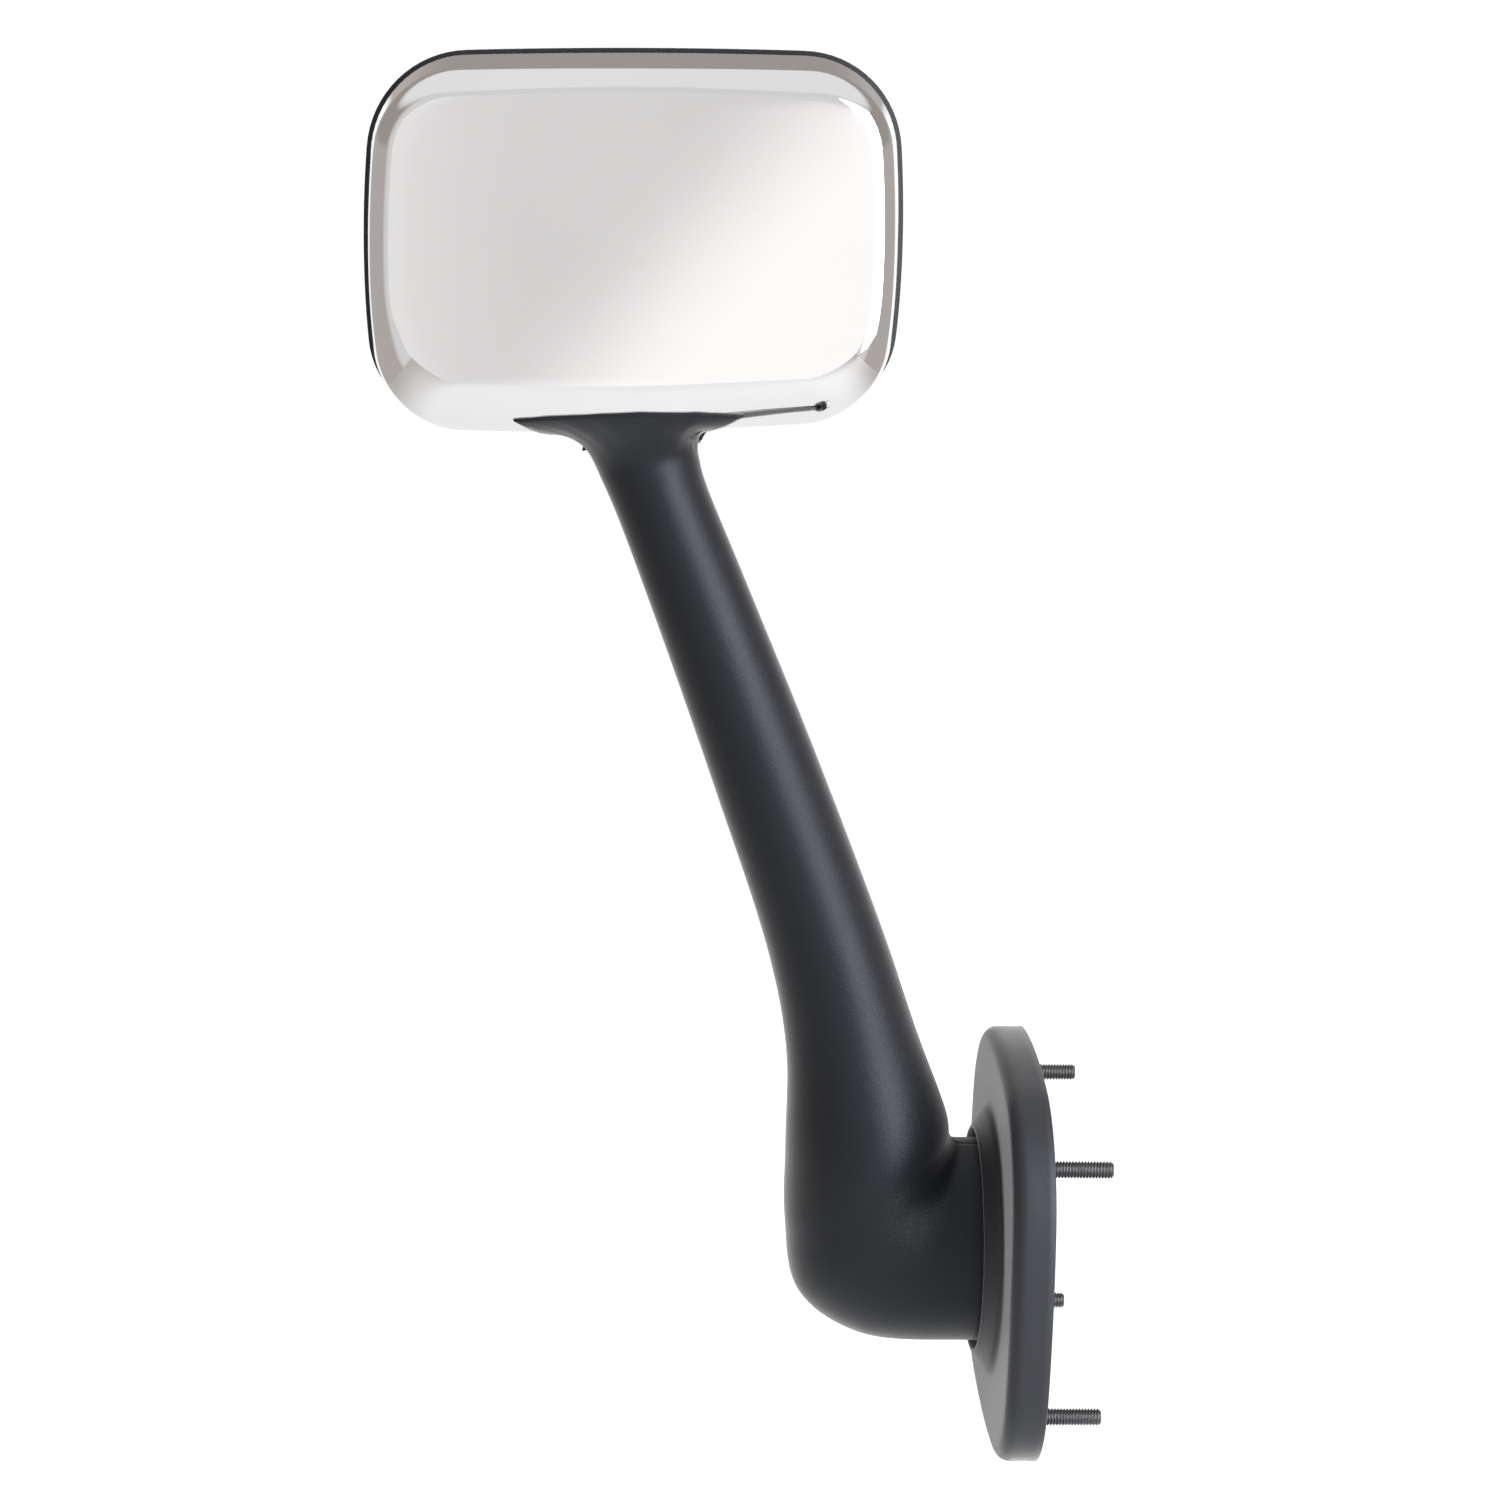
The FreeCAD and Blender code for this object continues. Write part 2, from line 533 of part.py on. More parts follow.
bracket_front = size.bracket_face - size.bracket_thick
for pillar in at_corners(size.housing_pillar_r, -size.head_front, size.head_front + bracket_front,
                         size.housing_screw_x, size.housing_screw_z):
    housing_shape = housing_shape.fuse(pillar.common(housing_outer))
for bore in at_corners(size.housing_screw_r, bracket_front - 14, 20, size.housing_screw_x, size.housing_screw_z):
    housing_shape = housing_shape.cut(bore)
node("head_housing", shape_of(housing_shape.cut(neck_hole)))

# ---------------------------------------------------------------- head bracket
bracket_plate = Part.makeBox(2 * size.bracket_half_x, size.bracket_thick, 2 * size.bracket_half_z,
                             Vector(size.head_x - size.bracket_half_x, bracket_front,
                                    size.head_z - size.bracket_half_z))
upright = [edge for edge in bracket_plate.Edges if edge.BoundBox.YLength > size.bracket_thick - 0.1]
bracket_shape = bracket_plate.makeFillet(size.bracket_corner, upright)
socket = leaning(size.tube_radius + size.boss_wall, 388.0, size.tube_top + 6.0)
bracket_shape = bracket_shape.fuse(socket.common(Part.makeBox(300, 60, 200, Vector(-350, -60 + size.bracket_face, 350))))
bracket_shape = bracket_shape.cut(leaning(size.tube_radius, 380.0, size.tube_top))
for bore in at_corners(size.housing_screw_r + size.screw_play, -2.0, 20, size.housing_screw_x, size.housing_screw_z):
    bracket_shape = bracket_shape.cut(bore)
for bore in at_corners(size.adjuster_screw_r, bracket_front - 1, 9, size.adjuster_screw_at, size.adjuster_screw_at):
    bracket_shape = bracket_shape.cut(bore)
for drilled in top_drilled:
    bracket_shape = bracket_shape.cut(drilled)
node("head_bracket", shape_of(bracket_shape))


def cap_screws(radius, head_radius, head_thick, seat, length, half):
    """Round-headed screws seated at a Y and driven forward."""
    shanks = at_corners(radius, seat - length, length, *half)
    heads = at_corners(head_radius, seat, head_thick, *half)
    return group(*[shape_of(shank.fuse(head)) for shank, head in zip(shanks, heads)])


node("housing_screws", cap_screws(size.housing_screw_r, 4.5, 3.0, size.bracket_face, 16.0,
                                  (size.housing_screw_x, size.housing_screw_z)))

# ---------------------------------------------------------------- glass adjuster: seat, ring and pins
ear_inner = "ring_outer + ear_gap"
adjuster_seat = cylinder("adjuster_radius", "adjuster_thick", ("head_x", "bracket_face", "head_z"), "y")


def ear(sign, along_x, low, high):
    """A lug beside the ring, on the X or the Z side of it, between two depths."""
    reach = "%s * (%s + ear_thick / 2)" % (sign, ear_inner)
    length = "(%s) - (%s)" % (high, low)
    if along_x:
        return block("ear_thick", length, "ear_half * 2", ("head_x + " + reach, low, "head_z"))
    return block("ear_half * 2", length, "ear_thick", ("head_x", low, "head_z + " + reach))


def pin(sign, along_x):
    """A pivot pin through a lug and the ring."""
    length = "%s + ear_thick - ring_inner - 0.5" % ear_inner
    start = "ring_inner + 0.5" if sign == "1" else "-(%s + ear_thick)" % ear_inner
    if along_x:
        return cylinder("pin_radius", length, ("head_x + " + start, "pivot_y", "head_z"), "x")
    return cylinder("pin_radius", length, ("head_x", "pivot_y", "head_z + " + start), "z")


def pin_bore(along_x, play):
    reach = "%s + ear_thick + 2" % ear_inner
    if along_x:
        return cylinder("pin_radius + " + play, "2 * (%s)" % reach, ("head_x - (%s)" % reach, "pivot_y", "head_z"), "x")
    return cylinder("pin_radius + " + play, "2 * (%s)" % reach, ("head_x", "pivot_y", "head_z - (%s)" % reach), "z")


node("adjuster_seat", cut(
    fuse(adjuster_seat, *[ear(sign, True, "bracket_face + 1", "pivot_y + 5") for sign in ("1", "-1")]),
    pin_bore(True, "0"),
    *[cylinder("adjuster_screw_r", "adjuster_thick + 4",
               ("head_x + %d * adjuster_screw_at" % a, "bracket_face - 2",
                "head_z + %d * adjuster_screw_at" % b), "y") for a, b in corners]))
node("adjuster_screws", cap_screws(size.adjuster_screw_r, 2.9, 1.8, size.bracket_face + size.adjuster_thick, 8.0,
                                   (size.adjuster_screw_at, size.adjuster_screw_at)))
node("gimbal_ring", cut(
    cylinder("ring_outer", "ring_thick", ("head_x", "pivot_y - ring_thick / 2", "head_z"), "y"),
    cylinder("ring_inner", "ring_thick + 2", ("head_x", "pivot_y - ring_thick / 2 - 1", "head_z"), "y"),
    pin_bore(True, "running_play"), pin_bore(False, "0")))
node("tilt_pins", group(pin("1", True), pin("-1", True)))
node("pan_pins", group(pin("1", False), pin("-1", False)))

# ---------------------------------------------------------------- glass, pad and carrier
glass_apex = size.rim_rear


def glass_layer(depth, thick, inset):
    """A layer of the convex stack, between two spheres and within an outline."""
    centre = Vector(size.head_x, glass_apex - size.glass_radius, size.head_z)
    face = Part.makeSphere(size.glass_radius - depth, centre)
    back = Part.makeSphere(size.glass_radius - depth - thick, centre)
    return head_slab(0, size.rim_rear + 10, inset).common(face).cut(back)


node("mirror_glass", shape_of(glass_layer(0, size.glass_thick, size.glass_inset)))
node("glass_pad", shape_of(glass_layer(size.glass_thick, size.pad_thick, size.glass_inset)))
carrier_depth = size.glass_thick + size.pad_thick
lip_inset = size.glass_inset - size.carrier_lip
carrier_lip = glass_layer(0.6, carrier_depth, lip_inset).cut(head_slab(0, size.rim_rear + 10, size.glass_inset - 0.2))
carrier = shape_of(glass_layer(carrier_depth, size.carrier_thick, lip_inset).fuse(carrier_lip))
node("glass_carrier", cut(
    fuse(carrier, *[ear(sign, False, "pivot_y - 4", "rim_rear - glass_thick - pad_thick - 2") for sign in ("1", "-1")]),
    pin_bore(False, "running_play")))

# ---------------------------------------------------------------- check and write
doc.recompute()
for item in doc.Objects:
    assert not {"Invalid", "Error"} & set(item.State), (item.Label, item.State)
for label, item in NODES.items():
    assert not item.Shape.isNull() and item.Shape.isValid(), label
    assert item.Shape.Solids, label
os.makedirs("parts", exist_ok=True)
for label, item in NODES.items():
    item.Shape.exportStep("parts/%s.step" % label)
    box = item.Shape.BoundBox
    print("%-20s %2d solids %9.0f mm3  X %7.1f %7.1f  Y %6.1f %6.1f  Z %6.1f %6.1f" % (
        label, len(item.Shape.Solids), item.Shape.Volume, box.XMin, box.XMax, box.YMin, box.YMax, box.ZMin, box.ZMax))
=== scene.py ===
import json
import math

import bmesh
import bpy
from mathutils import Matrix, Vector
from mathutils.bvhtree import BVHTree


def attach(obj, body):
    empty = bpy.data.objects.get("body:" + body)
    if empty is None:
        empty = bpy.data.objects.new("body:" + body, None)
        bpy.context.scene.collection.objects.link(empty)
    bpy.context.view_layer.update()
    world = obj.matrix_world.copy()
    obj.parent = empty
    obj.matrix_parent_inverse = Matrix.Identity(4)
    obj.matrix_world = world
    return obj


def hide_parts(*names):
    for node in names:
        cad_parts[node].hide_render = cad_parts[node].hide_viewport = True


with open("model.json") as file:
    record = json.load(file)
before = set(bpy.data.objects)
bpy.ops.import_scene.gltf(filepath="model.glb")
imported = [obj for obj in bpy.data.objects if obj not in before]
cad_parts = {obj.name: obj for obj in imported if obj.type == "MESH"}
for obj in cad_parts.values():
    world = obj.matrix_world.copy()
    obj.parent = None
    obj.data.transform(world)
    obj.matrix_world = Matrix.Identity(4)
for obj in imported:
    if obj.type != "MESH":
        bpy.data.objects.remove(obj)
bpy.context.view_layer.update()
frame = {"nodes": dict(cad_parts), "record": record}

# ---------------------------------------------------------------- foot cover
# Moulded satin-black cover over the mounting plate: a bowed square with a rolled shoulder, and a
# conical collar that the arm's root turns inside. It is screwed to the plate from behind.


def panel_loop(half_u, half_v, side_bow, end_bow, corner, inset, per_side=14, per_corner=16):
    """Points of a bowed rectangle of eight tangent arcs, moved inwards, in the same order for any inset."""
    side = Vector((half_u - side_bow, 0))
    end = Vector((0, half_v - end_bow))
    across = end - side
    side_reach, end_reach = side_bow - corner, end_bow - corner
    along = (side_reach ** 2 - end_reach ** 2 + across.length ** 2) / (2 * across.length)
    aside = math.sqrt(side_reach ** 2 - along ** 2)
    unit = across.normalized()
    hub = side + unit * along + Vector((-unit.y, unit.x)) * aside
    side_turn = math.atan2(hub.y - side.y, hub.x - side.x)
    end_turn = math.atan2(hub.y - end.y, hub.x - end.x)
    quarter = []
    for k in range(per_side):
        turn = side_turn * k / per_side
        quarter.append(side + Vector((math.cos(turn), math.sin(turn))) * (side_bow - inset))
    for k in range(per_corner):
        turn = side_turn + (end_turn - side_turn) * k / per_corner
        quarter.append(hub + Vector((math.cos(turn), math.sin(turn))) * (corner - inset))
    for k in range(per_side + 1):
        turn = end_turn + (math.pi / 2 - end_turn) * k / per_side
        quarter.append(end + Vector((math.cos(turn), math.sin(turn))) * (end_bow - inset))
    half = quarter + [Vector((-p.x, p.y)) for p in reversed(quarter[:-1])]
    return half + [Vector((-p.x, -p.y)) for p in half[1:-1]]


def ringed_mesh(name, rings, closed_start=True, closed_end=True, wrap=False):
    """A skin over equal rings of points; an end is closed with a fan round its middle."""
    mesh = bmesh.new()
    rows = [[mesh.verts.new(p) for p in ring] for ring in rings]
    count = len(rows[0])
    pairs = list(zip(rows, rows[1:])) + ([(rows[-1], rows[0])] if wrap else [])
    for low, high in pairs:
        for k in range(count):
            mesh.faces.new((low[k], low[(k + 1) % count], high[(k + 1) % count], high[k]))
    for row, wanted in ((rows[0], closed_start), (rows[-1], closed_end)):
        if wanted:
            hub = mesh.verts.new(sum((v.co for v in row), Vector()) / count)
            for k in range(count):
                mesh.faces.new((row[k], row[(k + 1) % count], hub))
    bmesh.ops.recalc_face_normals(mesh, faces=mesh.faces)
    data = bpy.data.meshes.new(name)
    mesh.to_mesh(data)
    mesh.free()
    for face in data.polygons:
        face.use_smooth = True
    piece = bpy.data.objects.new(name, data)
    bpy.context.scene.collection.objects.link(piece)
    return piece


def finish_piece(piece, body, slot, material, *nodes):
    """Give a piece its material, hang it on its body's empty and hide the frame parts that it replaces."""
    piece.data.materials.clear()
    piece.data.materials.append(material)
    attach(piece, body)
    if nodes:
        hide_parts(*nodes)


class Wire:
    """A shader socket that can be added, multiplied and so on, each time with a new Math node."""

    def __init__(self, tree, socket):
        self.tree, self.socket = tree, socket

    def node(self, kind, settings, values, output=0):
        made = self.tree.nodes.new(kind)
        for key, value in settings.items():
            setattr(made, key, value)
        for place, value in (values.items() if isinstance(values, dict) else enumerate(values)):
            if isinstance(value, Wire):
                self.tree.links.new(value.socket, made.inputs[place])
            else:
                made.inputs[place].default_value = value
        return Wire(self.tree, made.outputs[output])

    def maths(self, operation, *values):
        return self.node("ShaderNodeMath", {"operation": operation}, values)

    def mixed(self, low, high):
        """A colour between two others, by this value."""
        return self.node("ShaderNodeMix", {"data_type": "RGBA"}, {0: self, 6: low, 7: high}, output=2)

    def noise(self, scale, detail, rough=0.5):
        values = {"Vector": self, "Scale": scale, "Detail": detail, "Roughness": rough}
        return self.node("ShaderNodeTexNoise", {}, values)

    def bump(self, strength, depth, height):
        return self.node("ShaderNodeBump", {}, {"Strength": strength, "Distance": depth, "Height": height})

    def axis(self, which):
        return self.node("ShaderNodeSeparateXYZ", {}, (self,), output=which)

    def eased(self, low, high):
        """A smooth ramp from 0 below low to 1 above high."""
        settings = {"interpolation_type": "SMOOTHSTEP"}
        return self.node("ShaderNodeMapRange", settings, (self, low, high, 0.0, 1.0))

    def feed(self, socket):
        self.tree.links.new(self.socket, socket)

    def __add__(self, other):
        return self.maths("ADD", self, other)

    __radd__ = __add__

    def __mul__(self, other):
        return self.maths("MULTIPLY", self, other)

    __rmul__ = __mul__

    def __sub__(self, other):
        return self.maths("SUBTRACT", self, other)

    def __rsub__(self, other):
        return self.maths("SUBTRACT", other, self)

    def clamp(self, low=0.0, high=1.0):
        return self.maths("MINIMUM", self.maths("MAXIMUM", self, low), high)


def new_surface(name, **fixed):
    """A material with one Principled shader, its fixed sockets set, and its Object coordinates."""
    material = bpy.data.materials.new(name)
    material.use_nodes = True
    shader = material.node_tree.nodes["Principled BSDF"]
    for key, value in fixed.items():
        shader.inputs[key.replace("_", " ")].default_value = value
    place = Wire(material.node_tree, None).node("ShaderNodeTexCoord", {}, (), output="Object")
    return material, shader.inputs, place


def grained_plastic(name, colour, rough, grain, depth, fleck, shine=0.28):
    """Moulded plastic: spark-eroded grain, slow gloss change and a faint dust of lighter flecks."""
    material, inputs, place = new_surface(name, Specular_IOR_Level=shine, Sheen_Weight=0.8,
                                          Sheen_Roughness=0.30, Specular_Tint=(0.86, 0.92, 1.0, 1))
    coarse = place.noise(14.0, 3.0)
    fine = place.noise(grain, 2.0, 0.6)
    dust = place.noise(grain * 0.45, 4.0)
    speck = ((dust - 0.62) * 6.0).clamp() * 0.35
    light = tuple(min(1.0, c * fleck) for c in colour) + (1.0,)
    speck.mixed(colour + (1.0,), light).feed(inputs["Base Color"])
    gloss = (coarse - 0.5) * 0.12 + (fine - 0.5) * 0.10 + rough
    gloss.clamp(0.2, 0.9).feed(inputs["Roughness"])
    place.bump(1.0, depth, fine).feed(inputs["Normal"])
    return material


FOOT = dict(half_u=0.0965, half_v=0.0946, side_bow=0.280, end_bow=0.285, corner=0.060)
foot_height, shoulder, foot_wall = 0.0190, 0.0066, 0.003
collar_tip, collar_root, collar_rim, collar_hole = 0.027, 0.062, 0.0546, 0.052
foot_plastic = grained_plastic("foot plastic", (0.0190, 0.0195, 0.0235), 0.48, 2600.0, 0.00012, 2.2, 0.45)


def foot_ring(x, inset):
    return [Vector((x, p.x, p.y)) for p in panel_loop(inset=inset, **FOOT)]


def round_ring(x, radius):
    """A circle whose points stand at the same bearings as the foot's outline."""
    return [Vector((x, p.x, p.y)) for p in (q.normalized() * radius for q in panel_loop(inset=0.0, **FOOT))]


def between(low, high, share):
    return [a.lerp(b, share) for a, b in zip(low, high)]


foot_side, mouth_lip = foot_height - shoulder, 0.0022
rings = [foot_ring(-0.0005, 0.0028), foot_ring(-0.0001, 0.0022), foot_ring(-0.0001, 0.0006)]
rings += [foot_ring(-0.0006 - (foot_side - 0.0006) * k / 4, 0.0) for k in range(5)]
for k in range(1, 11):
    turn = math.pi / 2 * k / 10
    rings.append(foot_ring(-foot_side - shoulder * math.sin(turn), shoulder * (1 - math.cos(turn))))
face_start, face_end = rings[-1], round_ring(-foot_height, collar_root + 0.0035)
rings += [between(face_start, face_end, k / 6) for k in range(1, 7)]
root_blend = ((0.0022, 0.0002), (0.0012, 0.0006), (0.0004, 0.0013), (-0.0001, mouth_lip))
rings += [round_ring(-foot_height - up, collar_root + out) for out, up in root_blend]
for share in (k / 6 for k in range(1, 7)):
    rings.append(round_ring(-foot_height - mouth_lip - (collar_tip - foot_height - 0.0030) * share,
                            collar_root - 0.0001 + (collar_rim - collar_root) * share))
rings += [round_ring(-collar_tip + 0.0003, collar_rim - 0.0005), round_ring(-collar_tip, collar_rim - 0.0011),
          round_ring(-collar_tip, collar_hole + 0.0006), round_ring(-collar_tip + 0.0005, collar_hole)]
rings += [round_ring(-collar_tip + 0.006, collar_hole), round_ring(-foot_height + foot_wall, collar_hole)]
inner_edge = foot_ring(-foot_height + foot_wall, foot_wall)
rings += [between(rings[-1], inner_edge, 0.5), inner_edge]
foot_cover = ringed_mesh("foot_cover", rings, False, False, wrap=True)
finish_piece(foot_cover, "foot", "foot_plastic", foot_plastic, "base_cover")

# ---------------------------------------------------------------- studs
# Four 5/16-18 studs in dark zinc, pressed into the mounting plate, with their heads hidden in the foot.
# A rolled thread runs their whole free length, to a chamfered tip.
stud_radius, stud_pitch, stud_start, stud_reach = 0.00397, 0.001411, -0.0015, 0.0285
stud_spread_y, stud_spread_z = 0.130, 0.122
tip_chamfer, thread_depth = 0.0011, 0.58

tree = bpy.data.node_groups.new("threaded studs", "GeometryNodeTree")
for label in ("Radius", "Pitch", "Start", "Reach", "Spread Y", "Spread Z"):
    tree.interface.new_socket(label, in_out="INPUT", socket_type="NodeSocketFloat")
tree.interface.new_socket("Material", in_out="INPUT", socket_type="NodeSocketMaterial")
tree.interface.new_socket("Geometry", in_out="OUTPUT", socket_type="NodeSocketGeometry")
given = tree.nodes.new("NodeGroupInput")
start = Wire(tree, None)
radius, pitch, first, reach, spread_y, spread_z, finish = [Wire(tree, out) for out in given.outputs[:7]]
length = reach - first
grid = start.node("GeometryNodeMeshGrid", {}, (1.0, 1.0, 240, 33))
spot = start.node("GeometryNodeInputPosition", {}, ())
along, around = spot.axis(0), spot.axis(1)
run = (along + 0.5) * length
phase = start.maths("FRACT", start.maths("DIVIDE", run, pitch) + around)
ridge = start.maths("ABSOLUTE", phase - 0.5) * 2.0
tooth = ((ridge - 0.12) * 1.35).clamp()
tip_room = (length - run) * 1.1
thread_r = start.maths("MINIMUM", radius - tooth * pitch * thread_depth, radius - tip_chamfer + tip_room)
wide = around * (2 * math.pi)
off_y, off_z = start.maths("COSINE", wide) * thread_r, start.maths("SINE", wide) * thread_r
rolled = start.node("ShaderNodeCombineXYZ", {}, (run + first, off_y, off_z))
shank = start.node("GeometryNodeSetPosition", {}, {0: grid, 2: rolled})
tip = start.node("GeometryNodeMeshCircle", {"fill_type": "NGON"}, {0: 32, 1: radius - tip_chamfer})
tip_place = start.node("ShaderNodeCombineXYZ", {}, (reach, 0.0, 0.0))
turned = start.node("GeometryNodeTransform", {}, {0: tip, 1: tip_place, 2: (0.0, math.pi / 2, 0.0)})
one = start.node("GeometryNodeJoinGeometry", {}, ())
shank.feed(one.socket.node.inputs[0])
turned.feed(one.socket.node.inputs[0])
welded = start.node("GeometryNodeMergeByDistance", {}, {0: one, 2: 0.00002})
corners = start.node("GeometryNodeMeshGrid", {}, (spread_y, spread_z, 2, 2))
upright = start.node("GeometryNodeTransform", {}, {0: corners, 2: (math.pi / 2, 0.0, math.pi / 2)})
placed = start.node("GeometryNodeInstanceOnPoints", {}, {0: upright, 2: welded})
real = start.node("GeometryNodeRealizeInstances", {}, (placed,))
smooth = start.node("GeometryNodeSetShadeSmooth", {}, (real,))
dressed = start.node("GeometryNodeSetMaterial", {}, {0: smooth, 2: finish})
dressed.feed(tree.nodes.new("NodeGroupOutput").inputs[0])


def metal(name, colour, rough, streak, wear=0.0):
    """Bare or plated steel: uneven gloss, fine scratches and a little tone change."""
    material, inputs, place = new_surface(name, Metallic=1.0)
    cloud = place.noise(60.0, 4.0)
    scratch = place.noise(streak, 3.0)
    dark = tuple(c * 0.72 for c in colour) + (1.0,)
    cloud.mixed(dark, colour + (1.0,)).feed(inputs["Base Color"])
    gloss = (scratch - 0.5) * 0.25 + (cloud - 0.5) * wear + rough
    gloss.clamp(0.08, 0.9).feed(inputs["Roughness"])
    place.bump(0.5, 0.00004, scratch).feed(inputs["Normal"])
    return material


stud_steel = metal("stud steel", (0.23, 0.225, 0.235), 0.34, 2200.0, 0.15)
holder = bpy.data.objects.new("studs_source", bpy.data.meshes.new("studs_source"))
bpy.context.scene.collection.objects.link(holder)
maker = holder.modifiers.new("studs", "NODES")
maker.node_group = tree
sizes = {"Radius": stud_radius, "Pitch": stud_pitch, "Start": stud_start, "Reach": stud_reach,
         "Spread Y": stud_spread_y, "Spread Z": stud_spread_z, "Material": stud_steel}
for item in tree.interface.items_tree:
    if item.in_out == "INPUT":
        maker[item.identifier] = sizes[item.name]
bpy.context.view_layer.update()
made = bpy.data.meshes.new_from_object(holder.evaluated_get(bpy.context.evaluated_depsgraph_get()))
bpy.data.objects.remove(holder)
studs = bpy.data.objects.new("threaded_studs", made)
bpy.context.scene.collection.objects.link(studs)
finish_piece(studs, "foot", "stud_steel", stud_steel, "mounting_studs")

# ---------------------------------------------------------------- chrome cover
# Plated ABS skin over the front of the head: drafted sides, a rolled shoulder that widens along the
# bottom, and a slightly crowned face. It snaps over the black bowl, and the arm's flare lies on it.
HEAD = dict(half_u=0.1206, half_v=0.0864, side_bow=0.528, end_bow=2.670, corner=0.0456)
head_x, head_z, head_front, crown = -0.19375, 0.4656, 0.046, 1.5
rim_step, rim_rear, rim_ledge, seat_gap = 0.022, 0.036, 0.0013, 0.0018
head_roll, head_drop, low_rise, corner_rise = 0.0020, 0.0004, 0.0009, 0.0026
low_start, low_span = 0.015, 0.060
side_steps, roll_steps, face_steps = 8, 18, 16


def soft_step(share):
    share = min(1.0, max(0.0, share))
    return share * share * (3 - 2 * share)


def lowness(z):
    """How near a height is to the bottom of the head, from 0 to 1, eased at both ends."""
    return soft_step((head_z - low_start - z) / low_span)


def settled(x, z, more, keep):
    """A point's height once the head sits slightly rolled, with its lower edge rising to the right."""
    across = (x - head_x) / HEAD["half_u"]
    rise = low_rise + corner_rise * soft_step(across * 0.9 + 0.3)
    return z - head_drop + head_roll * across + lowness(z) * (rise * keep + more)


def head_ring(y, inset, more=0.0, keep=1.0):
    """The head's outline at a depth; the lower edge is raised by more, and keeps a share of its own rise."""
    ring = []
    for p in panel_loop(inset=inset, **HEAD):
        x = head_x + p.x
        ring.append(Vector((x, y, settled(x, head_z + p.y, more, keep))))
    return ring


def curved(first, lead, trail, last, t):
    """A point on the cubic curve that leaves first towards lead and reaches last from trail."""
    return first * (1 - t) ** 3 + lead * 3 * t * (1 - t) ** 2 + trail * 3 * t * t * (1 - t) + last * t ** 3


def crown_y(x, z, front):
    reach2 = (x - head_x) ** 2 + (z - head_z) ** 2
    return front + crown - math.sqrt(crown ** 2 - reach2)


def bowl_rings(rear, rear_inset, roll_inset, roll, low_roll, depth_in=0.0, keep=1.0):
    """Rings from the rear edge over the drafted side and the shoulder to the middle of the crowned face."""
    rims = head_ring(0.0, roll_inset, keep=keep)
    rolls = [roll + (low_roll - roll) * lowness(p.z) for p in rims]
    tight, loose = [head_ring(0.0, roll_inset + r, keep=keep) for r in (roll, low_roll)]
    face, edge = [], []
    for a, b, rim, turn in zip(tight, loose, rims, rolls):
        spot = a.lerp(b, (turn - roll) / (low_roll - roll))
        face.append(Vector((spot.x, crown_y(spot.x, spot.z, -head_front + depth_in), spot.z)))
        edge.append(Vector((rim.x, face[-1].y + turn, rim.z)))
    back = head_ring(rear, rear_inset, keep=keep)
    rings = [between(back, edge, k / side_steps) for k in range(side_steps + 1)]
    centre = Vector((head_x, 0, head_z))
    lead_pull, trail_pull = 0.56, 0.60
    for k in range(1, roll_steps + 1):
        t = k / roll_steps
        ring = []
        for side, rim, flat, turn in zip(back, edge, face, rolls):
            lead = rim + (rim - side).normalized() * turn * lead_pull
            slope = (centre - flat) * Vector((1, 0, 1))
            glide = Vector((slope.x, -slope.length ** 2 / crown, slope.z)).normalized()
            trail = flat - glide * turn * trail_pull
            ring.append(curved(rim, lead, trail, flat, t))
        rings.append(ring)
    for k in range(1, face_steps):
        share = 1 - k / face_steps
        ring = []
        for flat in face:
            x, z = head_x + (flat.x - head_x) * share, head_z + (flat.z - head_z) * share
            ring.append(Vector((x, crown_y(x, z, -head_front + depth_in), z)))
        rings.append(ring)
    return rings


chrome, inputs, place = new_surface("chrome plate", Metallic=1.0, Specular_IOR_Level=0.5)
haze = place.noise(9.0, 2.0)
haze.mixed((0.86, 0.855, 0.855, 1), (0.91, 0.905, 0.905, 1)).feed(inputs["Base Color"])
(haze * 0.02 + 0.025).feed(inputs["Roughness"])
place.bump(0.25, 0.0004, place.noise(16.0, 1.0)).feed(inputs["Normal"])

rings = [head_ring(rim_step, rim_ledge + seat_gap)]
rings += bowl_rings(rim_step - 0.0004, rim_ledge, 0.0072, 0.013, 0.024)
cover = ringed_mesh("chrome_skin", rings, False, True)
wall = cover.modifiers.new("wall", "SOLIDIFY")
wall.thickness = 0.0016
wall.offset = -1
finish_piece(cover, "arm", "chrome", chrome, "chrome_cover")

# ---------------------------------------------------------------- arm
# Two moulded half shells, front and rear, that meet on a parting line down both sides and hide a
# steel core tube. The root turns in the collar, the elbow sweeps up, and the top flares to the head.
# A station is the outer and the inner point of the arm, as X and Z, then its depth; a flare station has
# its front and rear depths and how square it is.
ROOT = ((-0.0190, -0.0480, -0.0190, 0.0480, 0.0480), (-0.0300, -0.0480, -0.0300, 0.0480, 0.0480))
ELBOW = ((-0.0818, -0.0450, -0.0365, 0.0486, 0.0456), (-0.1103, -0.0248, -0.0382, 0.0502, 0.0456),
         (-0.1169, 0.0092, -0.0398, 0.0539, 0.0456), (-0.1174, 0.0471, -0.0419, 0.0654, 0.0456))
SHAFT = ((-0.1179, 0.0923, -0.0566, 0.1036), (-0.1266, 0.1391, -0.0738, 0.1519),
         (-0.1546, 0.2234, -0.1087, 0.2404), (-0.1838, 0.3049, -0.1425, 0.3205),
         (-0.2013, 0.3507, -0.1608, 0.3639))
FLARE = ((-0.2082, 0.3661, -0.1637, 0.3749, 0.0253, 0.0250, 2.0),
         (-0.2135, 0.3766, -0.1630, 0.3804, 0.0310, 0.0270, 2.4),
         (-0.2245, 0.3846, -0.1595, 0.3864, 0.0360, 0.0290, 2.9))
